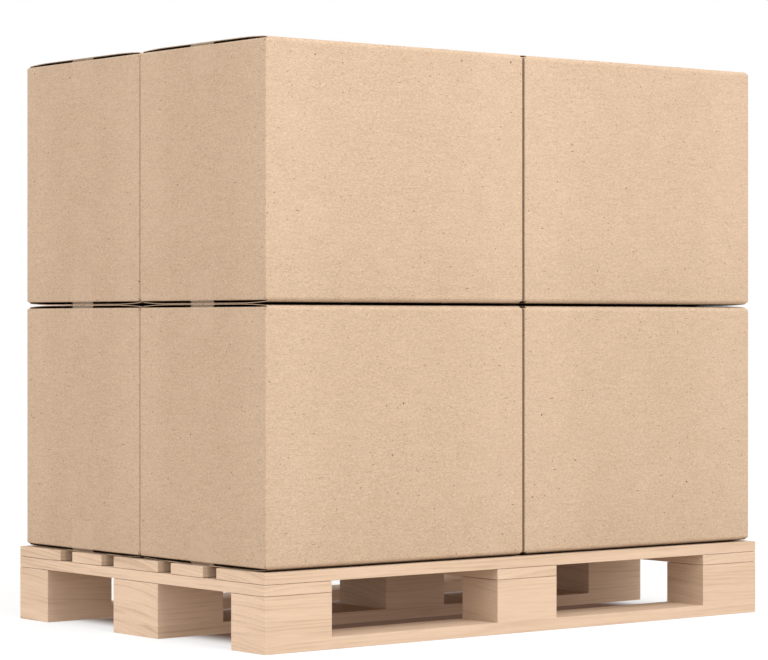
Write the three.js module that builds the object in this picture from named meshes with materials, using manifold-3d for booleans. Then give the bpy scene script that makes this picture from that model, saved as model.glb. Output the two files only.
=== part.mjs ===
// A loaded pallet: eight taped cartons, two layers of two by two, on a four-way block pallet.
// Millimetres, +Z up. The origin is on the floor under the middle of the pallet, whose length
// lies along X. Each carton's flaps meet in a seam along X, and its tape runs along that seam.
import * as THREE from 'three';
import { mergeVertices } from 'three/addons/utils/BufferGeometryUtils.js';
import Module from 'manifold-3d';

const wasm = await Module();
wasm.setup();

// Pallet
const PALLET_LENGTH = 1200;
const PALLET_WIDTH = 800;
const DECK_THICKNESS = 20;
const CROSS_THICKNESS = 20;
const BASE_THICKNESS = 22;
const BLOCK_HEIGHT = 78;
const WIDE_BOARD = 145; // outer and middle deck boards, the middle base board and its blocks
const NARROW_BOARD = 100; // the deck boards between, the outer base boards and their blocks
const CROSS_BOARD = 145; // cross boards, and the length of the blocks under them

// Carton
const CARTON_LENGTH = 588;
const CARTON_WIDTH = 389;
const CARTON_HEIGHT = 464;
const BOARD_CALIPER = 1.2; // thickness of the corrugated board
const CORNER_RADIUS = 1.8; // upright corners
const CREASE_RADIUS = 9; // where a long wall rolls over into a major flap
const CROWN_RUN = 71; // width over which a major flap falls towards its crease
const CROWN_DROP = 2.5; // how far it falls there
const END_CREASE_RADIUS = 3; // where an end wall rolls over into a minor flap
const MOUTH_HEIGHT = 4.35; // open slot between the end wall's crease and the major flaps
const MOUTH_DEPTH = 42; // how far in the minor flap meets the major flaps
const FLAP_SETBACK = 4.5; // from the end wall's face to the major flaps' cut ends
const SEAM_WIDTH = 2; // between the two major flaps

// Tape: one strip along each seam, folded down over both ends
const TAPE_WIDTH = 70;
const TAPE_THICKNESS = 0.3;
const TAPE_TAIL = 60; // from the carton's top or bottom to the strip's end on the wall

// Load
const LAYERS = ['lower', 'upper'];
const SIDE_GAP = 2; // between cartons side by side
const TAPE_CLEARANCE = 4.8; // between the tapes of cartons that stand end to end

const ARC_STEPS = 3; // half the facets of each arc
const OVERCUT = 5; // how far a cutter reaches past what it cuts

const PINE = new THREE.MeshStandardMaterial({ color: 0xe6c49e, roughness: 0.72, metalness: 0 });
const KRAFT = new THREE.MeshStandardMaterial({ color: 0xddbd97, roughness: 0.85, metalness: 0 });
const FILM = new THREE.MeshStandardMaterial({ color: 0xd6b48e, roughness: 0.35, metalness: 0 });

// Heights that follow from the sizes above
const crossBottom = BASE_THICKNESS + BLOCK_HEIGHT;
const deckBottom = crossBottom + CROSS_THICKNESS;
const deckTop = deckBottom + DECK_THICKNESS;
const layerPitch = CARTON_HEIGHT + 2 * TAPE_THICKNESS;
const flapTop = CARTON_HEIGHT / 2;
const flapUnderside = flapTop - BOARD_CALIPER;
const endWallTop = flapUnderside - MOUTH_HEIGHT;
const endWallFace = CARTON_LENGTH / 2;
const flapEnd = endWallFace - FLAP_SETBACK;

// Extrudes a closed outline both ways from the middle, along X (outline: Y right, Z up),
// along Y (outline: X right, Z up) or along Z (outline: X right, Y up).
function extrudeAlong(axis, outline, length) {
  const x = new THREE.Vector3(1, 0, 0);
  const y = new THREE.Vector3(0, 1, 0);
  const z = new THREE.Vector3(0, 0, 1);
  const frames = { X: [y, z, x], Y: [x, z, y.clone().negate()], Z: [x, y, z] };
  const geometry = new THREE.ExtrudeGeometry(outline, {
    depth: length,
    bevelEnabled: false,
    curveSegments: ARC_STEPS,
  });
  geometry.translate(0, 0, -length / 2);
  return geometry.applyMatrix4(new THREE.Matrix4().makeBasis(...frames[axis]));
}

function toSolid(geometry) {
  const bare = geometry.clone();
  bare.deleteAttribute('normal');
  bare.deleteAttribute('uv');
  const merged = mergeVertices(bare);
  return new wasm.Manifold(new wasm.Mesh({
    numProp: 3,
    vertProperties: new Float32Array(merged.attributes.position.array),
    triVerts: new Uint32Array(merged.index.array),
  }));
}

function toGeometry(solid) {
  const { vertProperties, triVerts } = solid.getMesh();
  const shared = new THREE.BufferGeometry();
  shared.setAttribute('position', new THREE.BufferAttribute(vertProperties, 3));
  shared.setIndex(new THREE.BufferAttribute(triVerts, 1));
  const faceted = shared.toNonIndexed();
  faceted.computeVertexNormals();
  return faceted;
}

// A carton's cross-section, drawn in by an inset: upright long walls, a rolled crease at each
// corner, and flaps that rise from the creases along a shallow arc to a flat middle.
function cartonSection(inset) {
  const quarter = Math.PI / 2;
  const crownRadius = (CROWN_RUN ** 2 + CROWN_DROP ** 2) / (2 * CROWN_DROP);
  const fall = Math.asin(CROWN_RUN / crownRadius);
  const creaseY = CARTON_WIDTH / 2 - CREASE_RADIUS;
  const creaseZ = flapTop - CROWN_DROP - CREASE_RADIUS * Math.cos(fall);
  const crownY = creaseY + CREASE_RADIUS * Math.sin(fall) - CROWN_RUN;
  const crownZ = flapTop - crownRadius;
  const roll = CREASE_RADIUS - inset;
  const crown = crownRadius - inset;
  const outline = new THREE.Shape();
  outline.absarc(creaseY, creaseZ, roll, 0, quarter - fall);
  outline.absarc(crownY, crownZ, crown, quarter - fall, quarter);
  outline.absarc(-crownY, crownZ, crown, quarter, quarter + fall);
  outline.absarc(-creaseY, creaseZ, roll, quarter + fall, 2 * quarter);
  outline.absarc(-creaseY, -creaseZ, roll, 2 * quarter, 3 * quarter - fall);
  outline.absarc(-crownY, -crownZ, crown, 3 * quarter - fall, 3 * quarter);
  outline.absarc(crownY, -crownZ, crown, 3 * quarter, 3 * quarter + fall);
  outline.absarc(creaseY, -creaseZ, roll, 3 * quarter + fall, 4 * quarter);
  return outline;
}

// A carton's outline from above, with rolled upright corners.
function cartonPlan() {
  const x = CARTON_LENGTH / 2 - CORNER_RADIUS;
  const y = CARTON_WIDTH / 2 - CORNER_RADIUS;
  const quarter = Math.PI / 2;
  const outline = new THREE.Shape();
  outline.absarc(x, y, CORNER_RADIUS, 0, quarter);
  outline.absarc(-x, y, CORNER_RADIUS, quarter, 2 * quarter);
  outline.absarc(-x, -y, CORNER_RADIUS, 2 * quarter, 3 * quarter);
  outline.absarc(x, -y, CORNER_RADIUS, 3 * quarter, 4 * quarter);
  return outline;
}

// The space over a minor flap at the +X end, as a cutter between the long walls' own board: the
// flap rolls in from the end wall and rises until it meets the major flaps from below.
function mouthCutter() {
  const inner = endWallFace - MOUTH_DEPTH;
  const outline = new THREE.Shape();
  outline.moveTo(endWallFace + OVERCUT, endWallTop - END_CREASE_RADIUS);
  outline.absarc(
    endWallFace - END_CREASE_RADIUS,
    endWallTop - END_CREASE_RADIUS,
    END_CREASE_RADIUS,
    0,
    Math.PI / 2,
  );
  outline.lineTo(inner, flapUnderside);
  outline.lineTo(inner, flapTop + OVERCUT);
  outline.lineTo(endWallFace + OVERCUT, flapTop + OVERCUT);
  return extrudeAlong('Y', outline, CARTON_WIDTH - 2 * BOARD_CALIPER);
}

// The slit between the two major flaps on top, as a cutter.
function seamCutter() {
  const height = BOARD_CALIPER + OVERCUT;
  const cutter = new THREE.BoxGeometry(CARTON_LENGTH + 2 * OVERCUT, SEAM_WIDTH, height);
  return cutter.translate(0, 0, flapUnderside + height / 2);
}

// One carton about its own centre: the walls and minor flaps, filled inside, and round them the
// sleeve of the long walls and major flaps, which stops short of both ends.
function cartonGeometry() {
  const upright = CARTON_HEIGHT + 2 * OVERCUT;
  const sleeveRing = cartonSection(0);
  sleeveRing.holes.push(cartonSection(BOARD_CALIPER));
  let solid = toSolid(extrudeAlong('X', cartonSection(0), CARTON_LENGTH))
    .intersect(toSolid(extrudeAlong('Z', cartonPlan(), upright)));
  for (const tip of [0, Math.PI]) {
    for (const turn of [0, Math.PI]) {
      solid = solid.subtract(toSolid(mouthCutter().rotateX(tip).rotateZ(turn)));
    }
  }
  solid = solid.add(toSolid(extrudeAlong('X', sleeveRing, 2 * flapEnd)));
  for (const tip of [0, Math.PI]) {
    solid = solid.subtract(toSolid(seamCutter().rotateX(tip)));
  }
  return toGeometry(solid);
}

// The points of a path moved sideways to its left, with mitred corners.
function offsetPath(points, distance) {
  const normals = points.slice(1).map((point, i) => {
    const along = point.clone().sub(points[i]).normalize();
    return new THREE.Vector2(-along.y, along.x);
  });
  return points.map((point, i) => {
    const before = normals[Math.max(i - 1, 0)];
    const after = normals[Math.min(i, normals.length - 1)];
    const mitre = before.clone().add(after).divideScalar(1 + before.dot(after));
    return point.clone().addScaledVector(mitre, distance);
  });
}

// The height on the end wall from which a straight run to the major flaps' edge just clears the
// rolled crease: the tape leaves the wall there.
function tapeFoldHeight() {
  const creaseZ = endWallTop - END_CREASE_RADIUS;
  const reach = new THREE.Vector2(END_CREASE_RADIUS - FLAP_SETBACK, flapTop - creaseZ);
  const touch = reach.angle() - Math.acos(END_CREASE_RADIUS / reach.length());
  return creaseZ + END_CREASE_RADIUS * Math.tan(touch / 2);
}

// The tape over a carton's top seam, about the carton's centre.
function tapeGeometry() {
  const half = [
    new THREE.Vector2(flapEnd, flapTop),
    new THREE.Vector2(endWallFace, tapeFoldHeight()),
    new THREE.Vector2(endWallFace, flapTop - TAPE_TAIL),
  ];
  const mirrored = half.map(({ x, y }) => new THREE.Vector2(-x, y)).reverse();
  const underside = [...mirrored, ...half];
  const outside = offsetPath(underside, TAPE_THICKNESS);
  const outline = new THREE.Shape([...underside, ...outside.reverse()]);
  return extrudeAlong('Y', outline, TAPE_WIDTH);
}

// Centres of a row of boards spread over a span, flush with both ends and with equal gaps.
function spread(widths, span) {
  const used = widths.reduce((sum, width) => sum + width, 0);
  const gap = (span - used) / (widths.length - 1);
  let edge = -span / 2;
  return widths.map((width) => {
    const centre = edge + width / 2;
    edge += width + gap;
    return centre;
  });
}

function placed(name, geometry, material, x, y, z) {
  const mesh = new THREE.Mesh(geometry, material.clone());
  mesh.name = name;
  mesh.position.set(x, y, z);
  return mesh;
}

// A board or block, given its size and the height of its underside.
function timber(name, length, width, thickness, x, y, bottom) {
  const geometry = new THREE.BoxGeometry(length, width, thickness);
  return placed(name, geometry, PINE, x, y, bottom + thickness / 2);
}

function makePallet() {
  const pallet = new THREE.Group();
  const deckWidths = [WIDE_BOARD, NARROW_BOARD, WIDE_BOARD, NARROW_BOARD, WIDE_BOARD];
  const baseWidths = [NARROW_BOARD, WIDE_BOARD, NARROW_BOARD];
  const crossWidths = [CROSS_BOARD, CROSS_BOARD, CROSS_BOARD];
  const deckY = spread(deckWidths, PALLET_WIDTH);
  const baseY = spread(baseWidths, PALLET_WIDTH);
  const crossX = spread(crossWidths, PALLET_LENGTH);
  deckWidths.forEach((width, i) => {
    const name = `deck_board_${i + 1}`;
    pallet.add(timber(name, PALLET_LENGTH, width, DECK_THICKNESS, 0, deckY[i], deckBottom));
  });
  baseWidths.forEach((width, i) => {
    const name = `base_board_${i + 1}`;
    pallet.add(timber(name, PALLET_LENGTH, width, BASE_THICKNESS, 0, baseY[i], 0));
  });
  crossX.forEach((x, i) => {
    const name = `cross_board_${i + 1}`;
    pallet.add(timber(name, CROSS_BOARD, PALLET_WIDTH, CROSS_THICKNESS, x, 0, crossBottom));
    baseWidths.forEach((width, j) => {
      const block = `block_${i + 1}_${j + 1}`;
      pallet.add(timber(block, CROSS_BOARD, width, BLOCK_HEIGHT, x, baseY[j], BASE_THICKNESS));
    });
  });
  return pallet;
}

function makeLoad() {
  const load = new THREE.Group();
  const carton = cartonGeometry();
  const topTape = tapeGeometry();
  const bottomTape = tapeGeometry().rotateX(Math.PI);
  const endGap = 2 * TAPE_THICKNESS + TAPE_CLEARANCE;
  const columns = spread([CARTON_LENGTH, CARTON_LENGTH], 2 * CARTON_LENGTH + endGap);
  const rows = spread([CARTON_WIDTH, CARTON_WIDTH], 2 * CARTON_WIDTH + SIDE_GAP);
  LAYERS.forEach((layer, level) => {
    const z = deckTop + TAPE_THICKNESS + CARTON_HEIGHT / 2 + level * layerPitch;
    columns.forEach((x, i) => {
      rows.forEach((y, j) => {
        const place = `${layer}_${i * rows.length + j + 1}`;
        load.add(placed(`carton_${place}`, carton, KRAFT, x, y, z));
        load.add(placed(`top_tape_${place}`, topTape, FILM, x, y, z));
        load.add(placed(`bottom_tape_${place}`, bottomTape, FILM, x, y, z));
      });
    });
  });
  return load;
}

const loadedPallet = new THREE.Group();
loadedPallet.name = 'loaded_pallet';
loadedPallet.add(makePallet(), makeLoad());

export default loadedPallet;
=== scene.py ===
"""A pallet load of taped cartons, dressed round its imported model.

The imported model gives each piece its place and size. Here every timber, carton and tape strip
gets its fine shape and its finish, and a plain studio and a camera are set up round the load.
Metres, +Z up, with the origin on the floor under the middle of the pallet.
"""

import logging
import math
import random
from collections.abc import Callable
from dataclasses import dataclass
from enum import Enum
from typing import Any

import bmesh
import bpy
from mathutils import Matrix, Vector


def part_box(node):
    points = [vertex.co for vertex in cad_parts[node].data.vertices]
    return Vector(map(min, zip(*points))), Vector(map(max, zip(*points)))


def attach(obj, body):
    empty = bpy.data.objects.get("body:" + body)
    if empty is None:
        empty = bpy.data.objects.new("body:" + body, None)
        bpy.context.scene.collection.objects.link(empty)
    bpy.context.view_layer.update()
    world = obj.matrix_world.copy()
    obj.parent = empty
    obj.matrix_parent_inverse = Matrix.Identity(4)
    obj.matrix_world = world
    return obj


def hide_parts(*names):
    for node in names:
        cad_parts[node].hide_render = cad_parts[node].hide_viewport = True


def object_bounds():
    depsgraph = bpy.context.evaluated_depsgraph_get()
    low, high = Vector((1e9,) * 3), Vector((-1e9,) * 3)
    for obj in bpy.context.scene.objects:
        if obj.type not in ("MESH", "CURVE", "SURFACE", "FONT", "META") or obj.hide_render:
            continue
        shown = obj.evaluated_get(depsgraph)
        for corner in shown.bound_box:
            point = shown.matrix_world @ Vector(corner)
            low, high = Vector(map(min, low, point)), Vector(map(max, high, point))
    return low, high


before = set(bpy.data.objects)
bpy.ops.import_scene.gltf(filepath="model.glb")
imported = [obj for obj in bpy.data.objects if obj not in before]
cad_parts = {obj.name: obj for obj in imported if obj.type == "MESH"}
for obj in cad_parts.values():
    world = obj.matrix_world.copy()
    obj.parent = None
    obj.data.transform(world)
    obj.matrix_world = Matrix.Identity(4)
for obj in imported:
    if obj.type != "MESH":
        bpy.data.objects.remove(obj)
PLAIN_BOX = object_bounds()

BODY = "root"
HAIR = 1e-5  # how far apart two points may be and still count as one place
MM = 0.001
SQUARE_ON = 0.9  # the least part of a face's normal along an axis, if the face looks along it
LARGE_FIRST = 100  # the highest weight of a face's size in the shading along its edges

# What the finishes read on each piece.
BOARD_PLACE = "board_place"  # where a point lay in the paper web
PANEL_PLACE = "panel_place"  # where it is on its carton, as shares of half the carton's size
LOG_PLACE = "log_place"  # where it grew in the log
PAINTED_END_LIGHT = "painted_end_light"  # 1 on the faces on the pallet's two short sides, where the finish paints light
HEART = "heart"  # how much darker than most a timber is, as a share of late wood

Colour = tuple[int, int, int]
Range = tuple[float, float]
Stretch = tuple[float, float, float]
Piece = bpy.types.Object
Socket = bpy.types.NodeSocket
WHITE = (1, 1, 1, 1)
BOUNCE_COLOUR: Colour = (70, 58, 48)  # what a surface throws on its neighbours fades towards this
BOUNCE_LOSS = 0.45  # by how much it does
NOISE_TURN = Vector((0.62, 0.41, 0.83))  # so that no flat face lies along a weak layer of noise
SEEN_RAYS = ("Is Glossy Ray", "Is Transmission Ray", "Is Camera Ray")
SKY_SAMPLES = 6  # rays that feel for the surfaces near a place

log = logging.getLogger("loaded_pallet")


def paint(colour: Colour) -> tuple[float, float, float, float]:
    """Turn a screen colour into the linear one that shaders take.

    Args:
        colour: Red, green and blue, 0 to 255.

    Returns:
        Linear red, green, blue and an alpha of 1.
    """
    shares = [part / 255 for part in colour]
    linear = [s / 12.92 if s <= 0.04045 else ((s + 0.055) / 1.055) ** 2.4 for s in shares]
    return (*linear, 1.0)


# -------- working on a mesh by hand


@dataclass
class Bench:
    """One piece held in edit mode, whose faces, edges and points are picked by their place."""

    piece: Piece

    def __enter__(self) -> "Bench":
        """Put the piece alone in edit mode, with nothing of it selected.

        Returns:
            The bench itself.
        """
        hold(self.piece)
        bpy.ops.object.mode_set(mode="EDIT")
        bpy.ops.mesh.select_mode(type="EDGE")
        bpy.ops.mesh.select_all(action="DESELECT")
        return self

    def __exit__(self, *_: Any) -> None:
        """Put the piece back in object mode."""
        bpy.ops.object.mode_set(mode="OBJECT")

    def pick(self, kind: str, wanted: Callable[[Any], bool]) -> None:
        """Select the faces, edges or points that pass a test, and nothing else.

        Args:
            kind: Which of them: FACE, EDGE or VERT.
            wanted: The test.
        """
        bpy.ops.mesh.select_mode(type=kind)
        bpy.ops.mesh.select_all(action="DESELECT")
        shape = bmesh.from_edit_mesh(self.piece.data)
        for part in {"FACE": shape.faces, "EDGE": shape.edges, "VERT": shape.verts}[kind]:
            if wanted(part):
                part.select_set(True)
        bmesh.update_edit_mesh(self.piece.data)

    def pick_faces(self, wanted: Callable[[bmesh.types.BMFace], bool]) -> None:
        """Select the faces that pass a test, and nothing else."""
        self.pick("FACE", wanted)

    def pick_edges(self, wanted: Callable[[Vector, Vector], bool]) -> None:
        """Select the edges whose two ends' places pass a test, and nothing else."""
        self.pick("EDGE", lambda edge: wanted(*(end.co for end in edge.verts)))

    def pick_points(self, wanted: Callable[[Vector], bool]) -> None:
        """Select the points whose places pass a test, and nothing else."""
        self.pick("VERT", lambda point: wanted(point.co))

    def pick_all(self) -> None:
        """Select the whole piece."""
        bpy.ops.mesh.select_all(action="SELECT")

    def set_out(self, size: Vector, middle: Vector) -> None:
        """Bring a new primitive of size 1 to its own size and place.

        Args:
            size: Its size along each axis.
            middle: Where its middle goes.
        """
        self.pick_all()
        bpy.ops.transform.resize(value=size, center_override=(0, 0, 0))
        bpy.ops.transform.translate(value=middle)

    def face_outwards(self) -> None:
        """Turn all faces of a folded sheet to its outer side."""
        self.pick_all()
        bpy.ops.mesh.normals_make_consistent(inside=False)

    def cut(self, place: Vector, normal: Vector, clear: bool = True) -> None:
        """Cut the piece along a plane, and clear away the side that the normal points away from."""
        self.pick_all()
        bpy.ops.mesh.bisect(plane_co=place, plane_no=normal, clear_inner=clear)

    def pull_edges(self, way: Vector) -> None:
        """Extrude the selected edges along a straight way."""
        bpy.ops.mesh.extrude_edges_move(TRANSFORM_OT_translate={"value": way})

    def narrow_edges(self, share: float) -> None:
        """Draw the selected edges in along Y, to a share of their width about the middle."""
        bpy.ops.transform.resize(value=(1, share, 1), center_override=(0, 0, 0))

    def roll_edges(self, centre: Vector, axis: Vector, angle: float, steps: int) -> None:
        """Roll the selected edges round an axis, by an angle in radians and the right-hand rule."""
        bpy.ops.mesh.spin(steps=steps, angle=-angle, center=centre, axis=axis)


def hold(piece: Piece) -> None:
    """Make a piece the only selected object, and the active one.

    Args:
        piece: The piece.
    """
    bpy.ops.object.select_all(action="DESELECT")
    piece.select_set(True)
    bpy.context.view_layer.objects.active = piece


def sawn_box(name: str, low: Vector, high: Vector) -> Piece:
    """Start a piece as a box between two corners, with its object at the origin.

    Args:
        name: The piece's name.
        low: The lowest corner.
        high: The highest corner.

    Returns:
        The new piece.
    """
    bpy.ops.object.select_all(action="DESELECT")
    bpy.ops.mesh.primitive_cube_add(size=1)
    piece = bpy.context.active_object
    piece.name = name
    piece.data.name = name
    with Bench(piece) as bench:
        bench.set_out(high - low, (low + high) / 2)
    return piece


def finish_with(piece: Piece, kind: str, **settings: Any) -> None:
    """Add a modifier to a piece and apply it.

    Args:
        piece: The piece.
        kind: The modifier's type.
        settings: Its options.
    """
    hold(piece)
    modifier = piece.modifiers.new(kind.title(), kind)
    for option, value in settings.items():
        setattr(modifier, option, value)
    bpy.ops.object.modifier_apply(modifier=modifier.name)


def smooth_over(piece: Piece, degrees: float) -> None:
    """Shade a piece smooth, with its sharpest edges kept and its large faces flat.

    Args:
        piece: The piece.
        degrees: The angle past which an edge stays sharp.
    """
    hold(piece)
    bpy.ops.object.shade_smooth_by_angle(angle=math.radians(degrees))
    finish_with(piece, "WEIGHTED_NORMAL", mode="FACE_AREA", weight=LARGE_FIRST, keep_sharp=True)


def copy_to(piece: Piece, name: str, place: Vector) -> Piece:
    """Copy a piece with a mesh of its own, and move the copy's mesh to a place.

    Args:
        piece: The piece that is copied.
        name: The copy's name.
        place: How far the copy's mesh is moved.

    Returns:
        The copy, with its object at the origin.
    """
    copy = piece.copy()
    copy.data = piece.data.copy()
    copy.name = name
    copy.data.name = name
    bpy.context.scene.collection.objects.link(copy)
    with Bench(copy) as bench:
        bench.pick_all()
        bpy.ops.transform.translate(value=place)
    return copy


def write_places(piece: Piece, name: str, place_of: Callable[[Vector], Vector]) -> None:
    """Write a place for each point of a piece, such as its place in the raw material.

    Args:
        piece: The piece.
        name: What the places are written under.
        place_of: The place for a point of the piece.
    """
    places = piece.data.attributes.new(name, "FLOAT_VECTOR", "POINT")
    for vertex, value in zip(piece.data.vertices, places.data):
        value.vector = place_of(vertex.co)


def mark_faces(
    piece: Piece, name: str, mark_of: Callable[[bpy.types.MeshPolygon], float]
) -> None:
    """Write a number for each face of a piece.

    Args:
        piece: The piece.
        name: What the numbers are written under.
        mark_of: The number for a face of the piece.
    """
    marks = piece.data.attributes.new(name, "FLOAT", "FACE")
    for face, mark in zip(piece.data.polygons, marks.data):
        mark.value = mark_of(face)


# -------- finishes


@dataclass(frozen=True)
class Noise:
    """One kind of soft unevenness in a raw material."""

    lumps: float  # in a metre
    detail: float = 2.0  # how many finer layers it has
    rough: float = 0.5  # how strong those are
    stretch: Stretch = (1, 1, 1)  # how much finer it is along each axis
    weight: float = 1.0  # what it counts for


@dataclass(frozen=True)
class Ramp:
    """A smooth run from one level to another, over a range of what drives it."""

    low: float
    high: float
    start: float = 0.0  # the level up to the low end
    end: float = 1.0  # and from the high end on


@dataclass(frozen=True)
class PaintedCreviceShade:
    """Painted shade: how much a surface's colour darkens where another one is close over it."""

    # the colour of the painted shade
    colour: Colour
    reach: float  # how near the other one has to be
    sky: Ramp  # how dark a place is, over the share of the sky that is open to it


@dataclass(frozen=True, kw_only=True)
class Finish:
    """What every finish has."""

    name: str
    relief: float  # the depth of its unevenness
    roughness: Ramp  # over that unevenness
    gloss: float  # its specular level, the same all over


@dataclass
class NodeBoard:
    """A node tree, with short calls for the nodes that are used most."""

    tree: bpy.types.NodeTree

    def add(self, kind: str, feeds: dict[str | int, Any], **options: Any) -> bpy.types.Node:
        """Add a node.

        Args:
            kind: The node's type, without its prefix.
            feeds: What goes into its inputs, as values or as other nodes' outputs.
            options: The node's own options.

        Returns:
            The new node.
        """
        node = self.tree.nodes.new("ShaderNode" + kind)
        for option, value in options.items():
            setattr(node, option, value)
        for key, value in feeds.items():
            self.feed(node.inputs[key], value)
        return node

    def feed(self, into: Socket, value: Any) -> None:
        """Link an output to an input, or set the input to a plain value.

        Args:
            into: The input.
            value: The output or the value.
        """
        if isinstance(value, Socket):
            self.tree.links.new(value, into)
        else:
            into.default_value = value

    def calc(self, kind: str, first: Any, second: Any = 0.0, *more: Any) -> Socket:
        """Work out one kind of arithmetic on two values, or on more of them in their order."""
        result = self.add("Math", {0: first, 1: second}, operation=kind).outputs[0]
        return self.calc(kind, result, *more) if more else result

    def calc_way(self, kind: str, first: Any, second: Any = (0, 0, 0)) -> Socket:
        """Work out one step of arithmetic on two vectors."""
        return self.add("VectorMath", {0: first, 1: second}, operation=kind).outputs["Vector"]

    def part(self, way: Socket, axis: str) -> Socket:
        """Take a vector's part along X, Y or Z."""
        return self.add("SeparateXYZ", {0: way}).outputs[axis]

    def smaller_part(self, way: Socket) -> Socket:
        """Take the smaller of a vector's parts along X and Y."""
        return self.calc("MINIMUM", self.part(way, "X"), self.part(way, "Y"))

    def mix_light(self, share: Any, first: Socket, second: Socket) -> Socket:
        """Mix two kinds of shading, by the share that the second one has."""
        return self.add("MixShader", {0: share, 1: first, 2: second}).outputs[0]

    def glowing_paint(self, share: float, colour: Any, glow: Any, strength: Any) -> Socket:
        """Make a matt paint that glows by itself.

        Args:
            share: How much of it glows, 0 to 1.
            colour: The paint's colour.
            glow: The glow's colour.
            strength: The glow's strength.

        Returns:
            The shading.
        """
        matt = self.add("BsdfDiffuse", {"Color": colour}).outputs[0]
        light = self.add("Emission", {"Color": glow, "Strength": strength}).outputs[0]
        return self.mix_light(share, matt, light)

    def eye_rays(self) -> Socket:
        """Tell the rays that the camera sees, directly or in gloss or through film."""
        path = self.add("LightPath", {})
        return self.calc("MAXIMUM", *(path.outputs[name] for name in SEEN_RAYS))


class FinishNodes(NodeBoard):
    """The node tree of one finish, with short calls for what finishes share."""

    def __init__(self, name: str) -> None:
        """Start a material that holds a principled shader.

        Args:
            name: The material's name.
        """
        self.material = bpy.data.materials.new(name)
        self.material.use_nodes = True
        super().__init__(self.material.node_tree)
        self.shader = self.tree.nodes["Principled BSDF"]

    def read(self, name: str, output: str = "Fac") -> Socket:
        """Read what is written on the piece under a name."""
        return self.add("Attribute", {}, attribute_name=name).outputs[output]

    def places(self, name: str, stretch: Stretch = (1, 1, 1)) -> Socket:
        """Read the piece's places in its raw material, scaled along each axis and then turned."""
        feeds = {"Vector": self.read(name, "Vector"), "Scale": stretch, "Rotation": NOISE_TURN}
        return self.add("Mapping", feeds).outputs["Vector"]

    def noise(self, name: str, kind: Noise, fourth: Socket | None = None) -> Socket:
        """Sample soft noise at the piece's places in its raw material.

        Args:
            name: What the places are written under.
            kind: What the noise is like.
            fourth: A fourth direction in which it changes, if it has one.

        Returns:
            The noise's value, 0 to 1.
        """
        feeds = {"Vector": self.places(name, kind.stretch), "Scale": kind.lumps}
        feeds |= {"Detail": kind.detail, "Roughness": kind.rough}
        if fourth is None:
            return self.add("TexNoise", feeds).outputs["Fac"]
        return self.add("TexNoise", feeds | {"W": fourth}, noise_dimensions="4D").outputs["Fac"]

    def weighed_noise(self, name: str, kind: Noise, fourth: Socket | None = None) -> Socket:
        """Sample soft noise, times what it counts for."""
        return self.calc("MULTIPLY", self.noise(name, kind, fourth), kind.weight)

    def run(self, value: Socket, ramp: Ramp) -> Socket:
        """Work out a ramp's level at a value.

        Args:
            value: What drives the ramp.
            ramp: The ramp.

        Returns:
            The level.
        """
        feeds = {"Value": value, "From Min": ramp.low, "From Max": ramp.high}
        feeds |= {"To Min": ramp.start, "To Max": ramp.end}
        return self.add("MapRange", feeds, interpolation_type="SMOOTHSTEP").outputs["Result"]

    def mix(self, share: Any, first: Any, second: Any) -> Socket:
        """Mix two colours, by the share that the second one has."""
        feeds = {0: share, 6: first, 7: second}  # of its sockets, 6 and 7 take the colours
        return self.add("Mix", feeds, data_type="RGBA", blend_type="MIX").outputs[2]

    def shut_in(self, crevice: PaintedCreviceShade) -> Socket:
        """Find how far the surfaces near a place shut it in, 0 to 1, which is the share of its
        painted crevice shade.
        """
        sky = self.add("AmbientOcclusion", {"Distance": crevice.reach}, samples=SKY_SAMPLES)
        return self.run(sky.outputs["AO"], crevice.sky)

    def hush(self, colour: Socket) -> Socket:
        """Let a surface throw less of its colour on its neighbours than the camera sees of it."""
        bounce = self.add("LightPath", {}).outputs["Is Diffuse Ray"]
        return self.mix(self.calc("MULTIPLY", bounce, BOUNCE_LOSS), colour, paint(BOUNCE_COLOUR))

    def settle(
        self, finish: Finish, colour: Socket, height: Socket, uneven: Socket
    ) -> bpy.types.Material:
        """Feed the shader and return the finished material.

        Args:
            finish: The finish, for its relief, roughness and gloss.
            colour: The surface's colour.
            height: How high the surface stands, for the relief.
            uneven: What the roughness follows.

        Returns:
            The material.
        """
        relief = {"Height": height, "Distance": finish.relief, "Strength": 1.0}
        inputs = self.shader.inputs
        self.feed(inputs["Normal"], self.add("Bump", relief).outputs["Normal"])
        self.feed(inputs["Base Color"], self.hush(colour))
        self.feed(inputs["Roughness"], self.run(uneven, finish.roughness))
        self.feed(inputs["Specular IOR Level"], finish.gloss)
        return self.material


@dataclass(frozen=True)
class Flecks:
    """Small round marks strewn through a sheet."""

    spacing: float  # between neighbouring marks
    radius: float  # of each mark
    strength: float  # of the strongest marks, 0 to 1
    core: float = 0.4  # the share of its radius within which a mark doesn't fade
    rarity: float = 2.2  # the higher this power, the fewer marks are strong

    def share(self, nodes: FinishNodes, at: Socket) -> Socket:
        """Work out how much of the mark's colour shows at a place.

        Args:
            nodes: The finish that the marks belong to.
            at: Where they are sampled.

        Returns:
            The share of the mark's colour.
        """
        cells = nodes.add("TexVoronoi", {"Vector": at, "Scale": 1 / self.spacing}).outputs
        edge = self.radius / self.spacing
        near = nodes.run(cells["Distance"], Ramp(edge * self.core, edge, self.strength, 0.0))
        each = nodes.add("SeparateColor", {"Color": cells["Color"]}).outputs["Red"]
        return nodes.calc("MULTIPLY", near, nodes.calc("POWER", each, self.rarity))


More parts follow.
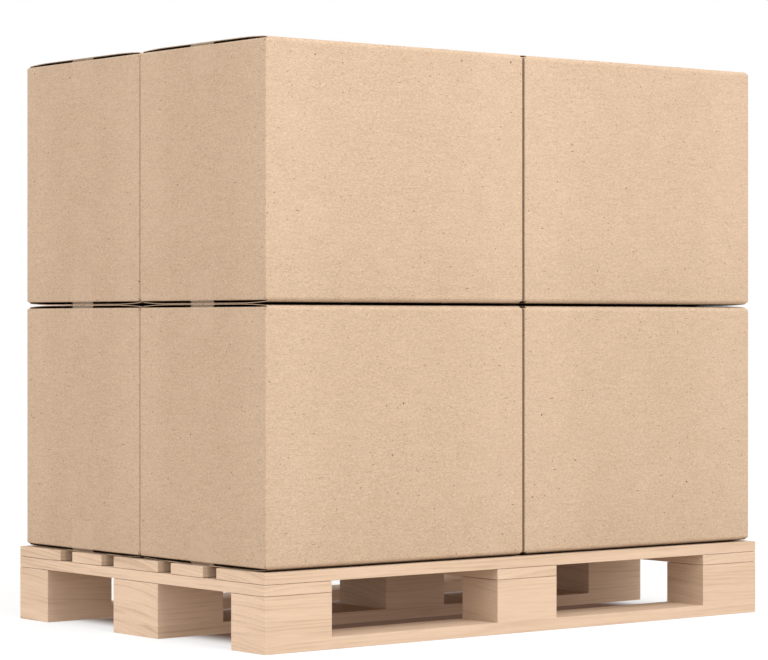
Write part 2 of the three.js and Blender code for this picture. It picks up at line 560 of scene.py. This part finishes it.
@dataclass(frozen=True, kw_only=True)
class KraftLiner(Finish):
    """The face of the cartons' board: brown kraft paper with fibres, clouds and bark specks, with
    painted shade in its gaps and over its panels.
    """

    name: str = "kraft_liner"
    relief: float = 0.12 * MM
    roughness: Ramp = Ramp(0.3, 0.7, 0.78, 0.9)
    gloss: float = 0.22
    pale: Colour = (237, 208, 180)
    deep: Colour = (197, 169, 140)
    fleece: Noise = Noise(90, 3, 0.6, (0.34, 0.34, 2.2), 0.1)
    grit: Noise = Noise(330, 2, 0.65, (0.34, 0.34, 2.2), 0.18)
    hair: Noise = Noise(640, 0, 0.5, (0.36, 0.36, 1.2), 0.22)
    cloud: Noise = Noise(16, 3, weight=0.05)
    tones: Ramp = Ramp(0.115, 0.435)  # from pale to deep, over the sum of those four
    painted_middle_shade: Ramp = Ramp(0.4, 0.8, 0.05, -0.05)  # painted shade and light added to that: darker in a panel's middle, paler towards its sides
    painted_foot_shade: Ramp = Ramp(-0.95, -0.3, 0.07, 0.0)  # painted shade: darker at a panel's foot, fading out on the way up
    fibre: Colour = (140, 104, 76)
    fibres: Flecks = Flecks(8.5 * MM, 1.0 * MM, 0.95)
    fibre_stretch: Stretch = (0.18, 0.18, 1)
    fibre_bend: Noise = Noise(35, 1, weight=6 * MM)
    bark: Colour = (104, 66, 46)
    specks: Flecks = Flecks(11 * MM, 1.8 * MM, 0.8)
    bark_bits: Flecks = Flecks(36 * MM, 2.6 * MM, 0.95)
    gap_shade: PaintedCreviceShade = PaintedCreviceShade((58, 40, 30), 9 * MM, Ramp(0.15, 0.68, 1, 0))  # painted shade over or under a carton, where its creases and flaps lie close to another carton or the deck
    gap_shade_level: Ramp = Ramp(0.1, 0.5)  # the painted shade's share, over how level a face is: none on a wall

    def material(self) -> bpy.types.Material:
        """Make the finish.

        Returns:
            The material.
        """
        nodes = FinishNodes(self.name)
        fleece, grit = (nodes.noise(BOARD_PLACE, kind) for kind in (self.fleece, self.grit))
        tone = nodes.calc(
            "ADD",
            nodes.calc("MULTIPLY", fleece, self.fleece.weight),
            nodes.calc("MULTIPLY", grit, self.grit.weight),
            nodes.weighed_noise(BOARD_PLACE, self.hair),
            nodes.weighed_noise(BOARD_PLACE, self.cloud),
        )
        # painted shade on each panel, in its middle and at its foot
        tone = nodes.calc("ADD", nodes.run(tone, self.tones), self.painted_panel_shade(nodes))
        colour = nodes.mix(tone, paint(self.pale), paint(self.deep))
        bent = nodes.places(BOARD_PLACE, self.fibre_stretch)
        bent = nodes.calc_way("ADD", bent, nodes.weighed_noise(BOARD_PLACE, self.fibre_bend))
        colour = nodes.mix(self.fibres.share(nodes, bent), colour, paint(self.fibre))
        for marks in (self.specks, self.bark_bits):
            share = marks.share(nodes, nodes.places(BOARD_PLACE))
            colour = nodes.mix(share, colour, paint(self.bark))
        # painted shade in the gaps over and under each carton
        colour = nodes.mix(self.paint_gap_shade(nodes), colour, paint(self.gap_shade.colour))
        return nodes.settle(self, colour, nodes.calc("ADD", grit, fleece), fleece)

    def painted_panel_shade(self, nodes: FinishNodes) -> Socket:
        """Paint shade on each panel: a little darker in its middle and towards its foot, paler
        towards its sides.

        Args:
            nodes: The finish that the shade is painted into.

        Returns:
            What the share of the deep colour gains.
        """
        place = nodes.read(PANEL_PLACE, "Vector")
        across = nodes.smaller_part(nodes.calc_way("ABSOLUTE", place))
        foot = nodes.run(nodes.part(place, "Z"), self.painted_foot_shade)
        return nodes.calc("ADD", nodes.run(across, self.painted_middle_shade), foot)

    def paint_gap_shade(self, nodes: FinishNodes) -> Socket:
        """Paint shade on the rolled creases and flaps that face each other, or the deck, across a
        narrow gap.

        Args:
            nodes: The finish that the shade is painted into.

        Returns:
            The share of the painted shade's colour.
        """
        normal = nodes.add("NewGeometry", {}).outputs["Normal"]
        level = nodes.run(nodes.calc("ABSOLUTE", nodes.part(normal, "Z")), self.gap_shade_level)
        return nodes.calc("MULTIPLY", nodes.shut_in(self.gap_shade), level)


@dataclass(frozen=True, kw_only=True)
class MottledFace(Finish):
    """A surface of two tones, mottled by one kind of noise."""

    roughness: Ramp = Ramp(0.3, 0.7, 0.85, 0.95)
    gloss: float = 0.15
    pale: Colour
    deep: Colour
    mottle: Noise
    tones: Ramp  # from pale to deep, over the noise
    drawn: Noise | None = None  # a second noise, in its relief alone
    # painted shade where another surface is close over this one, if it has any
    gap_shade: PaintedCreviceShade | None = None
    cover: float = 1.0  # how much of what is behind it is hidden

    def material(self) -> bpy.types.Material:
        """Make the finish.

        Returns:
            The material.
        """
        nodes = FinishNodes(self.name)
        height = mottle = nodes.noise(BOARD_PLACE, self.mottle)
        colour = nodes.mix(nodes.run(mottle, self.tones), paint(self.pale), paint(self.deep))
        # painted shade where another surface is close over this one
        if self.gap_shade:
            colour = nodes.mix(nodes.shut_in(self.gap_shade), colour, paint(self.gap_shade.colour))
        if self.drawn:
            height = nodes.calc("ADD", mottle, nodes.noise(BOARD_PLACE, self.drawn))
        nodes.feed(nodes.shader.inputs["Alpha"], self.cover)
        return nodes.settle(self, colour, height, mottle)


@dataclass(frozen=True, kw_only=True)
class InnerLiner(MottledFace):
    """The inner face of the cartons' board: darker paper made from waste."""

    name: str = "inner_liner"
    relief: float = 0.1 * MM
    pale: Colour = (160, 130, 104)
    deep: Colour = (128, 102, 80)
    mottle: Noise = Noise(160, 3, 0.6)
    tones: Ramp = Ramp(0.35, 0.65)


@dataclass(frozen=True, kw_only=True)
class BoardEdge(MottledFace):
    """The cut edge of the board: pale liners with a shaded fluting between them."""

    name: str = "board_edge"
    relief: float = 0.2 * MM
    pale: Colour = (246, 214, 184)
    deep: Colour = (200, 168, 138)
    mottle: Noise = Noise(700, 3, 0.7)
    tones: Ramp = Ramp(0.4, 0.75, 0.0, 0.8)
    gap_shade: PaintedCreviceShade = PaintedCreviceShade((70, 50, 38), 14 * MM, Ramp(0.3, 0.55, 1, 0))  # painted shade on the cut edges, where they lie close over the deck


@dataclass(frozen=True, kw_only=True)
class TapeFilm(MottledFace):
    """Clear packing tape: a thin glossy film that shows the board through it."""

    name: str = "tape_film"
    relief: float = 0.06 * MM
    roughness: Ramp = Ramp(0.3, 0.7, 0.22, 0.34)
    gloss: float = 0.5
    pale: Colour = (226, 196, 167)
    deep: Colour = (211, 180, 150)
    mottle: Noise = Noise(130, 3, 0.55)
    tones: Ramp = Ramp(0.35, 0.7)
    drawn: Noise = Noise(500, 2, 0.5, (0.2, 1, 0.2))
    cover: float = 0.24  # for each face of the film


@dataclass(frozen=True, kw_only=True)
class SawnPine(Finish):
    """Pale planed pine, its growth rings read from each timber's place in the log."""

    name: str = "sawn_pine"
    relief: float = 0.08 * MM
    roughness: Ramp = Ramp(0.3, 0.7, 0.62, 0.78)
    gloss: float = 0.3
    early_wood: Colour = (244, 213, 184)
    late_wood: Colour = (214, 182, 151)
    painted_end_light: Colour = (255, 223, 193)  # painted light: in place of early wood, on the pallet's two short sides
    ring_width: float = 9 * MM
    wander: Noise = Noise(1.8, 2, 0.5, (0.6, 1.2, 4), 30 * MM)  # of the rings from a circle
    widths: Noise = Noise(50, 0, 0.65, (0.05, 0.08, 0), 25 * MM)  # what makes them uneven
    summer: Ramp = Ramp(0.45, 0.9)  # the growth of late wood, over the share of a year
    winter: Ramp = Ramp(0.9, 1.0, 1, 0)  # and its end
    years: Noise = Noise(45, 3, 0.65, (0.05, 0.08, 0))  # it differs little along and round the log
    year_lines: Ramp = Ramp(0.4, 0.62, 0.12, 0.45)  # how dark a year's line is
    year_wood: Ramp = Ramp(0.3, 0.75, 0.0, 0.4)  # and the wood round it
    fibre: Noise = Noise(400, 3, 0.6, (0.045, 1, 1))
    fibre_tones: Ramp = Ramp(0.35, 0.65, -0.1, 0.1)

    def material(self) -> bpy.types.Material:
        """Make the finish.

        Returns:
            The material.
        """
        nodes = FinishNodes(self.name)
        across = nodes.places(LOG_PLACE, (0, 1, 1))
        radius = nodes.add("VectorMath", {0: across}, operation="LENGTH").outputs["Value"]
        reach = nodes.calc("ADD", radius, nodes.weighed_noise(LOG_PLACE, self.wander))
        ring = nodes.calc("ADD", reach, nodes.weighed_noise(LOG_PLACE, self.widths, reach))
        season = nodes.calc("FRACT", nodes.calc("DIVIDE", ring, self.ring_width))
        years = nodes.noise(LOG_PLACE, self.years, reach)
        summer, winter = nodes.run(season, self.summer), nodes.run(season, self.winter)
        lines = nodes.calc("MULTIPLY", summer, winter, nodes.run(years, self.year_lines))
        wood = nodes.run(years, self.year_wood)
        fibre = nodes.noise(LOG_PLACE, self.fibre)
        fine = nodes.run(fibre, self.fibre_tones)
        late = nodes.calc("ADD", lines, wood, fine, nodes.read(HEART))
        # painted light: the early wood is paler on the pallet's two short sides
        early = nodes.mix(nodes.read(PAINTED_END_LIGHT), paint(self.early_wood), paint(self.painted_end_light))
        colour = nodes.mix(late, early, paint(self.late_wood))
        return nodes.settle(self, colour, nodes.calc("ADD", fibre, lines), fibre)


# -------- pallet


class Grain(Enum):
    """The way that a timber's grain runs."""

    LENGTHWAYS = 0
    CROSSWAYS = 1


@dataclass(frozen=True)
class LogCut:
    """Where in a log a timber was sawn."""

    along: float
    beside: float
    depth: float
    lean: float  # how steeply the rings rise along the timber
    heart: float  # what is written under HEART

    def place_of(self, point: Vector, middle: Vector, grain: Grain) -> Vector:
        """Work out the place in the log of a point on the timber.

        Args:
            point: The point.
            middle: The timber's middle.
            grain: The way that the grain runs.

        Returns:
            The place: along the log, beside its pith and above its pith.
        """
        offset = point - middle
        along, beside = (offset.x, offset.y) if grain is Grain.LENGTHWAYS else (offset.y, offset.x)
        rise = offset.z + self.lean * along
        return Vector((along + self.along, beside + self.beside, rise + self.depth))


@dataclass(frozen=True)
class Log:
    """The ranges that timbers' places in a log are drawn from, where its rings lie nearly flat."""

    along: Range = (0.0, 40.0)
    beside: Range = (-0.11, -0.03)
    depth: Range = (0.7, 1.0)
    lean: Range = (-0.02, 0.02)
    heart: Range = (-0.15, 0.15)

    def saw(self, draw: random.Random) -> LogCut:
        """Draw the place of one timber."""
        places = [draw.uniform(*each) for each in (self.along, self.beside, self.depth, self.lean)]
        return LogCut(*places, draw.triangular(*self.heart))


@dataclass(frozen=True)
class Face:
    """How a timber's top or bottom is finished."""

    ease: float  # of its arrises
    scant: float = 0.0  # how far it stays back from its full size, which opens the joint there


@dataclass
class Timber:
    """One sawn board or block, with its arrises eased by the planer."""

    node: str
    cut: LogCut
    grain: Grain
    top: Face
    bottom: Face
    facets: int = 2  # across an eased arris
    smooth_below: float = 30  # degrees between faces

    def build(self) -> Piece:
        """Saw the timber to its node's size and ease its arrises.

        Returns:
            The finished mesh.
        """
        low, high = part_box(self.node)
        low.z += self.bottom.scant
        high.z -= self.top.scant
        piece = sawn_box(f"pine_{self.node}", low, high)
        with Bench(piece) as bench:
            for level, face in ((high.z, self.top), (low.z, self.bottom)):
                bench.pick_edges(lambda a, b, z=level: abs(a.z - z) < HAIR and abs(b.z - z) < HAIR)
                bpy.ops.mesh.bevel(offset=face.ease, segments=self.facets, affect="EDGES")
            bench.pick_edges(lambda a, b: abs(a.z - b.z) > (high.z - low.z) / 2)
            ease = max(self.top.ease, self.bottom.ease)
            bpy.ops.mesh.bevel(offset=ease, segments=self.facets, affect="EDGES")
        middle = (low + high) / 2
        write_places(piece, LOG_PLACE, lambda point: self.cut.place_of(point, middle, self.grain))
        # mark the faces on the pallet's two short sides, which the finish paints lighter
        end = PLAIN_BOX[1][0] - MM
        mark_faces(piece, PAINTED_END_LIGHT, lambda face: float(abs(face.center.x) > end))
        mark_faces(piece, HEART, lambda face: self.cut.heart)
        smooth_over(piece, self.smooth_below)
        return piece


@dataclass
class Pallet:
    """The four-way block pallet: deck, cross and base boards with nine blocks between."""

    finish: SawnPine = SawnPine()
    trunk: Log = Log()
    outside: Face = Face(0.8 * MM)
    open_joint: Face = Face(0.5 * MM, 0.35 * MM)  # it shows as a dark line between two timbers
    tight_joint: Face = Face(0.15 * MM)  # where a block sits tight on its base board
    seed: int = 8681

    def kinds(self) -> dict[str, tuple[Grain, Face, Face]]:
        """List the kinds of timber, each with its grain, its top and its bottom.

        Returns:
            The kinds, by what their nodes' names start with.
        """
        return {
            "deck_board": (Grain.LENGTHWAYS, self.outside, self.open_joint),
            "cross_board": (Grain.CROSSWAYS, self.open_joint, self.open_joint),
            "base_board": (Grain.LENGTHWAYS, self.tight_joint, self.outside),
            "block": (Grain.LENGTHWAYS, self.open_joint, self.tight_joint),
        }

    def build(self) -> list[Piece]:
        """Saw every timber of the pallet, give it its finish and let it stand for its node.

        Returns:
            The timbers.
        """
        draw, pine = random.Random(self.seed), self.finish.material()
        kinds, pieces = self.kinds(), []
        for node in sorted(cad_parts):
            kind = kinds.get(node.rstrip("_0123456789"))
            if kind is None:
                continue
            piece = Timber(node, self.trunk.saw(draw), *kind).build()
            piece.data.materials.append(pine)
            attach(piece, BODY)
            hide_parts(node)
            pieces.append(piece)
        return pieces


# -------- cartons


class BoardSide(Enum):
    """The sides of the cartons' board, in the order of their finishes."""

    OUTSIDE = 0
    CUT_EDGE = 1
    INSIDE = 2


@dataclass
class Carton:
    """A regular slotted carton: walls, minor flaps folded in, major flaps crowned over them."""

    length: float
    width: float
    height: float
    caliper: float = 1.2 * MM
    corner_radius: float = 1.8 * MM
    corner_facets: int = 4
    crease_radius: float = 9 * MM
    crown_run: float = 71 * MM
    crown_drop: float = 2.5 * MM
    crown_steps: int = 6
    end_crease_radius: float = 3 * MM
    end_crease_steps: int = 5
    mouth_height: float = 4.35 * MM
    flap_setback: float = 4.5 * MM
    seam_width: float = 2 * MM
    flap_depth: float = 186 * MM  # how far in the minor flaps reach
    flap_nick: float = 1.8 * MM  # how far in from the corner each side of them is cut
    nick_rise: float = 0.7 * MM  # over how much of their height that cut is made
    flap_taper: float = 4 * MM  # how much further in each side runs just past their crease
    flap_rise: float = 3.5 * MM  # how much they rise towards their free edge
    liner: float = 0.25 * MM  # the liner left round the groove in a cut edge
    groove: float = 0.5 * MM
    crease_steps: int = 8
    corner_steps: int = 3  # of those, how many the board at the corners takes before its cut end
    smooth_below: float = 35  # degrees between faces

    def build(self) -> Piece:
        """Fold one carton about the origin.

        Returns:
            The finished mesh.
        """
        piece = self.raise_walls()
        self.fold_major_flap(piece)
        self.fold_minor_flap(piece)
        finish_with(piece, "MIRROR", use_axis=(True, True, True), merge_threshold=HAIR)
        with Bench(piece) as bench:
            bench.face_outwards()
        for finish in (KraftLiner(), BoardEdge(), InnerLiner()):
            piece.data.materials.append(finish.material())
        finish_with(
            piece,
            "SOLIDIFY",
            thickness=self.caliper,
            offset=-1,
            use_even_offset=True,
            material_offset=BoardSide.INSIDE.value,
            material_offset_rim=BoardSide.CUT_EDGE.value,
        )
        self.open_fluting(piece)
        smooth_over(piece, self.smooth_below)
        half = Vector((self.length, self.width, self.height)) / 2
        shares = Matrix.Diagonal(half).inverted()
        write_places(piece, PANEL_PLACE, lambda point: shares @ point)
        return piece

    @property
    def flap_end(self) -> float:
        """How far from the carton's middle a major flap's cut end is."""
        return self.length / 2 - self.flap_setback

    @property
    def crown_radius(self) -> float:
        """The radius of the arc along which a major flap falls to its crease."""
        return (self.crown_run**2 + self.crown_drop**2) / (2 * self.crown_drop)

    @property
    def fall(self) -> float:
        """The slope of a major flap where it meets its crease, in radians."""
        return math.asin(self.crown_run / self.crown_radius)

    @property
    def crease_height(self) -> float:
        """The height of the crease roll's axis above the carton's middle."""
        rise = self.crease_radius * math.cos(self.fall)
        return self.height / 2 - self.crown_drop - rise

    def raise_walls(self) -> Piece:
        """Make the quarter of the four walls, above the middle, that is mirrored at the end.

        Returns:
            The start of the carton.
        """
        corner = Vector((self.length / 2, self.width / 2, self.crease_height))
        piece = sawn_box("carton", -corner, corner)
        with Bench(piece) as bench:
            bench.pick_faces(lambda face: abs(face.normal.z) > SQUARE_ON)
            bpy.ops.mesh.delete(type="ONLY_FACE")
            bench.pick_edges(lambda a, b: abs(a.z - b.z) > self.crease_height)
            bpy.ops.mesh.bevel(
                offset=self.corner_radius, segments=self.corner_facets, affect="EDGES"
            )
            for normal in Matrix.Identity(3):
                bench.cut(Vector(), normal)
            bench.cut(Vector((self.flap_end, 0, 0)), Vector((1, 0, 0)), clear=False)
        return piece

    def fold_major_flap(self, piece: Piece) -> None:
        """Roll the long wall over its crease, along the crown and flat to the seam.

        Args:
            piece: The quarter of the carton.
        """
        top, wall = self.crease_height, self.width / 2
        end = self.flap_end + HAIR
        crease = Vector((0, wall - self.crease_radius, top))
        crown_y = crease.y + self.crease_radius * math.sin(self.fall) - self.crown_run
        crown = Vector((0, crown_y, self.height / 2 - self.crown_radius))
        step = (math.pi / 2 - self.fall) / self.crease_steps
        corner_turn = step * self.corner_steps
        corner_top = top + self.crease_radius * math.sin(corner_turn)
        rest = self.crease_steps - self.corner_steps
        along = Vector((1, 0, 0))
        with Bench(piece) as bench:
            bench.pick_edges(
                lambda a, b: min(a.z, b.z) > top - HAIR
                and min(a.y, b.y) > wall - self.corner_radius - HAIR
            )
            bench.roll_edges(crease, along, corner_turn, self.corner_steps)
            bench.pick_edges(lambda a, b: min(a.z, b.z) > corner_top - HAIR and max(a.x, b.x) < end)
            bench.roll_edges(crease, along, step * rest, rest)
            bench.roll_edges(crown, along, self.fall, self.crown_steps)
            bench.pull_edges(Vector((0, self.seam_width / 2 - crown_y, 0)))

    def fold_minor_flap(self, piece: Piece) -> None:
        """Roll the end wall over its crease and in under the major flaps.

        Args:
            piece: The quarter of the carton.
        """
        top, wall = self.crease_height, self.length / 2
        crease_top = self.height / 2 - self.caliper - self.mouth_height
        crease = Vector((wall - self.end_crease_radius, 0, crease_top - self.end_crease_radius))
        half_width = self.width / 2 - self.corner_radius
        lead_in = self.end_crease_radius
        with Bench(piece) as bench:
            bench.pick_edges(
                lambda a, b: min(a.z, b.z) > top - HAIR
                and min(a.x, b.x) > wall - HAIR
                and max(a.y, b.y) < half_width + HAIR
                and max(a.z, b.z) < top + HAIR
            )
            bench.pull_edges(Vector((0, 0, self.nick_rise)))
            bench.narrow_edges(1 - self.flap_nick / half_width)
            bench.pull_edges(Vector((0, 0, crease.z - top - self.nick_rise)))
            bench.roll_edges(crease, Vector((0, -1, 0)), math.pi / 2, self.end_crease_steps)
            bench.pull_edges(Vector((-lead_in, 0, 0)))
            bench.narrow_edges(1 - self.flap_taper / (half_width - self.flap_nick))
            bench.pull_edges(Vector((lead_in - self.flap_depth, 0, self.flap_rise)))

    def open_fluting(self, piece: Piece) -> None:
        """Sink a groove between the two liners along the major flaps' cut ends.

        Args:
            piece: The whole carton.
        """
        end, level = self.flap_end, self.crease_height
        with Bench(piece) as bench:
            bench.pick_faces(
                lambda face: face.material_index == BoardSide.CUT_EDGE.value
                and abs(face.normal.x) > SQUARE_ON
                and abs(abs(face.calc_center_median().x) - end) < HAIR
                and abs(face.calc_center_median().z) > level
            )
            bpy.ops.mesh.inset(thickness=self.liner, depth=-self.groove)


@dataclass
class Tape:
    """A strip of packing tape over a seam, folded down over both ends of its carton."""

    carton: Carton
    width: float
    tail_bottom: float  # height of the strip's end, above the carton's middle
    lift: float = 0.06 * MM  # of the film off the board
    thickness: float = 0.12 * MM
    tooth: float = 2.5 * MM  # pitch of the teeth that the cutter leaves
    sag: float = 0.5 * MM  # how far the film sinks into the open mouth
    smooth_below: float = 60  # degrees between faces

    def build(self) -> Piece:
        """Lay the strip over the top seam of a carton about the origin.

        Returns:
            The finished mesh.
        """
        carton, top = self.carton, self.carton.height / 2 + self.lift
        wall, flap_end = carton.length / 2 + self.lift, carton.flap_end
        fold, pitch = self.fold_height(), self.tooth / 2
        bpy.ops.object.select_all(action="DESELECT")
        bpy.ops.mesh.primitive_plane_add(size=1)
        piece = bpy.context.active_object
        piece.name = "tape"
        with Bench(piece) as bench:
            bench.set_out(Vector((flap_end, self.width, 1)), Vector((flap_end / 2, 0, top)))
            bench.pick_edges(lambda a, b: min(a.x, b.x) > flap_end - HAIR)
            sunk = Vector(((wall - flap_end) / 2 - self.sag, 0, (fold - top) / 2 - self.sag / 2))
            bench.pull_edges(sunk)
            bench.pull_edges(Vector((wall - flap_end, 0, fold - top)) - sunk)
            bench.pull_edges(Vector((0, 0, self.tail_bottom + pitch - fold)))
            bench.pick_edges(lambda a, b: max(a.z, b.z) < self.tail_bottom + self.tooth)
            bpy.ops.mesh.subdivide(number_cuts=2 * round(self.width / self.tooth) - 1)
            bench.pick_points(
                lambda place: place.z < self.tail_bottom + self.tooth
                and round((place.y + self.width / 2) / pitch) % 2 == 1
            )
            bpy.ops.transform.translate(value=(0, 0, -pitch))
        finish_with(piece, "MIRROR", use_axis=(True, False, False), merge_threshold=HAIR)
        with Bench(piece) as bench:
            bench.face_outwards()
        piece.data.materials.append(TapeFilm().material())
        finish_with(piece, "SOLIDIFY", thickness=self.thickness, offset=1)
        smooth_over(piece, self.smooth_below)
        return piece

    def fold_height(self) -> float:
        """Work out where the strip's slanting run over the mouth meets the end wall.

        Returns:
            The height of that place above the carton's middle.
        """
        carton = self.carton
        radius = carton.end_crease_radius
        crease = carton.height / 2 - carton.caliper - carton.mouth_height - radius
        reach = Vector((radius - carton.flap_setback, carton.height / 2 - crease))
        touch = math.atan2(reach.y, reach.x) - math.acos(radius / reach.length)
        return crease + radius * math.tan(touch / 2)


@dataclass
class Load:
    """Eight cartons in two layers, each with a strip of tape on its top and bottom seams."""

    seed: int = 3
    web: float = 20  # how far from the middle of the paper web a carton's blank may lie

    def build(self) -> list[Piece]:
        """Fold and tape one carton, and copy it to every place in the load.

        Returns:
            All cartons and strips.
        """
        low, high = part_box("carton_lower_1")
        size = high - low
        carton = Carton(size.x, size.y, size.z)
        tape_low, tape_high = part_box("top_tape_lower_1")
        tape = Tape(carton, tape_high.y - tape_low.y, tape_low.z - (low.z + high.z) / 2)
        folded, strip = carton.build(), tape.build()
        under_strip = copy_to(strip, "under_tape", Vector())
        self.turn_over(under_strip)
        draw = random.Random(self.seed)
        pieces = []
        for node in sorted(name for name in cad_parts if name.startswith("carton")):
            place = node.removeprefix("carton_")
            low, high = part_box(node)
            middle = (low + high) / 2
            blank = Vector([draw.uniform(-self.web, self.web) for _ in range(3)])
            for model, named, stands_for, slot in (
                (folded, f"board_{node}", node, "kraft_board"),
                (strip, f"film_top_{place}", f"top_tape_{place}", "clear_tape"),
                (under_strip, f"film_bottom_{place}", f"bottom_tape_{place}", "clear_tape"),
            ):
                pieces.append(copy_to(model, named, middle))
                write_places(pieces[-1], BOARD_PLACE, lambda point: point - middle + blank)
                pieces[-1].visible_shadow = pieces[-1].visible_diffuse = slot != "clear_tape"
                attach(pieces[-1], BODY)
                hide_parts(stands_for)
        for model in (folded, strip, under_strip):
            bpy.data.objects.remove(model)
        return pieces

    def turn_over(self, strip: Piece) -> None:
        """Turn a strip upside down, for the bottom seam.

        Args:
            strip: The strip, about the origin.
        """
        with Bench(strip) as bench:
            bench.pick_all()
            bpy.ops.transform.rotate(value=math.pi, orient_axis="X", center_override=(0, 0, 0))


# -------- studio


@dataclass
class Lamp:
    """A soft rectangular lamp, aimed at the load."""

    name: str
    place: Vector
    size: float
    watts: float

    def build(self, aim: Vector) -> None:
        """Hang the lamp.

        Args:
            aim: The point that the lamp faces.
        """
        light = bpy.data.lights.new(self.name, "AREA")
        light.shape = "SQUARE"
        light.size = self.size
        light.energy = self.watts
        lamp = bpy.data.objects.new(self.name, light)
        lamp.visible_camera = False
        lamp.location = self.place
        lamp.rotation_euler = (aim - self.place).to_track_quat("-Z", "Y").to_euler()
        bpy.context.scene.collection.objects.link(lamp)


@dataclass
class Studio:
    """A plain white studio: pale floor, even light from all round and two soft lamps."""

    floor_reach: float = 60.0
    horizon: float = 0.93  # how bright the surroundings are, level with the load
    zenith: float = 0.62  # and straight above it
    aim: float = 0.6  # height of the point that the lamps face
    floor_bounce: Colour = (176, 172, 167)
    shade_bounce: Colour = (255, 239, 231)  # what keeps the pallet's shaded inside from going black
    inside_bounce: Colour = (191, 168, 166)  # what is left of that in the middle of the pallet
    inside_run: Ramp = Ramp(0.0, 0.34)  # from the one to the other, over the way in
    shade_share: float = 0.26  # how much of the floor throws these, and not the lamps' light
    glow_share: float = 0.5  # how much of the floor glows to the eye, which softens the shadow
    deep_shade: Colour = (124, 97, 82)  # what the floor shows under the pallet
    open_run: Ramp = Ramp(0.03, 0.14, 1, 0)  # how little it is shaded, over the way in
    floor_glow: Ramp = Ramp(0.0, 1.0, 1.0, 1.32)  # how bright the camera sees it, over that
    lamps: tuple[Lamp, ...] = (
        Lamp("front", Vector((-0.1, -3.2, 3.3)), 2.6, 85.0),
        Lamp("side", Vector((-4.5, 0.1, 1.3)), 3.5, 37.5),
    )

    def build(self) -> None:
        """Lay the floor, light the world and hang the lamps."""
        bpy.ops.object.select_all(action="DESELECT")
        bpy.ops.mesh.primitive_plane_add(size=self.floor_reach)
        floor = bpy.context.active_object
        floor.name = "studio_floor"
        floor.data.materials.append(self.floor_paint())
        self.light_world()
        for lamp in self.lamps:
            lamp.build(Vector((0, 0, self.aim)))

    def floor_paint(self) -> bpy.types.Material:
        """Make the floor's paint: white to the eye, with the load's soft shadow on it.

        Returns:
            The material.
        """
        nodes = FinishNodes("studio_floor")
        way_in = self.way_in(nodes)
        light = nodes.run(way_in, self.open_run)
        tint = nodes.mix(light, paint(self.deep_shade), WHITE)
        strength = nodes.run(light, self.floor_glow)
        seen = nodes.glowing_paint(self.glow_share, tint, tint, strength)
        inside = nodes.run(way_in, self.inside_run)
        left = nodes.mix(inside, paint(self.shade_bounce), paint(self.inside_bounce))
        thrown = nodes.glowing_paint(self.shade_share, paint(self.floor_bounce), left, 1.0)
        end = nodes.tree.nodes["Material Output"].inputs["Surface"]
        nodes.feed(end, nodes.mix_light(nodes.eye_rays(), thrown, seen))
        nodes.tree.nodes.remove(nodes.shader)
        return nodes.material

    def way_in(self, nodes: FinishNodes) -> Socket:
        """Measure how far in under the pallet a place on the floor is, from its nearest edge.

        Args:
            nodes: The floor's paint.

        Returns:
            The distance, below 0 outside the pallet.
        """
        place = nodes.add("NewGeometry", {}).outputs["Position"]
        side = nodes.calc_way("ABSOLUTE", place)
        return nodes.smaller_part(nodes.calc_way("SUBTRACT", Vector(PLAIN_BOX[1]), side))

    def light_world(self) -> None:
        """Light the load softly from all round, in front of a white background."""
        world = bpy.data.worlds.new("studio")
        world.use_nodes = True
        bpy.context.scene.world = world
        nodes = NodeBoard(world.node_tree)
        rise = nodes.part(nodes.add("TexCoord", {}).outputs["Generated"], "Z")
        loss = nodes.calc("MULTIPLY", rise, self.horizon - self.zenith)
        strength = nodes.calc("SUBTRACT", self.horizon, loss)
        even, white = (
            nodes.add("Background", {"Color": WHITE, "Strength": each}).outputs[0]
            for each in (strength, 1.0)
        )
        end = nodes.tree.nodes["World Output"].inputs["Surface"]
        nodes.feed(end, nodes.mix_light(nodes.eye_rays(), even, white))


@dataclass
class Viewpoint:
    """The camera: level, a little above the pallet, looking at the load's near corner."""

    place: tuple[float, float, float] = (-3.5391, -4.4116, 0.5682)
    turn: float = math.radians(38.583)  # from +Y towards +X
    lens: float = 135.66  # millimetres
    sensor: float = 36.0  # its width, in millimetres
    rise: float = -0.0073  # of the frame, in widths of it
    sight: float = 100.0  # how far it sees

    def build(self) -> None:
        """Set up the camera and make it the scene's own."""
        data = bpy.data.cameras.new("camera")
        data.lens = self.lens
        data.sensor_width = self.sensor
        data.shift_y = self.rise
        data.clip_end = self.sight
        camera = bpy.data.objects.new("camera", data)
        camera.location = self.place
        camera.rotation_euler = (math.pi / 2, 0, -self.turn)
        bpy.context.scene.collection.objects.link(camera)
        bpy.context.scene.camera = camera


def main() -> None:
    """Build the pallet, the load, the studio and the camera, and report each piece."""
    logging.basicConfig(level=logging.INFO, format="%(name)s: %(message)s")
    for part in (Pallet(), Load()):
        for piece in part.build():
            log.info("%s has %d faces", piece.name, len(piece.data.polygons))
    Studio().build()
    Viewpoint().build()
    bpy.context.scene.view_settings.view_transform = "Standard"


if __name__ == "__main__":
    main()
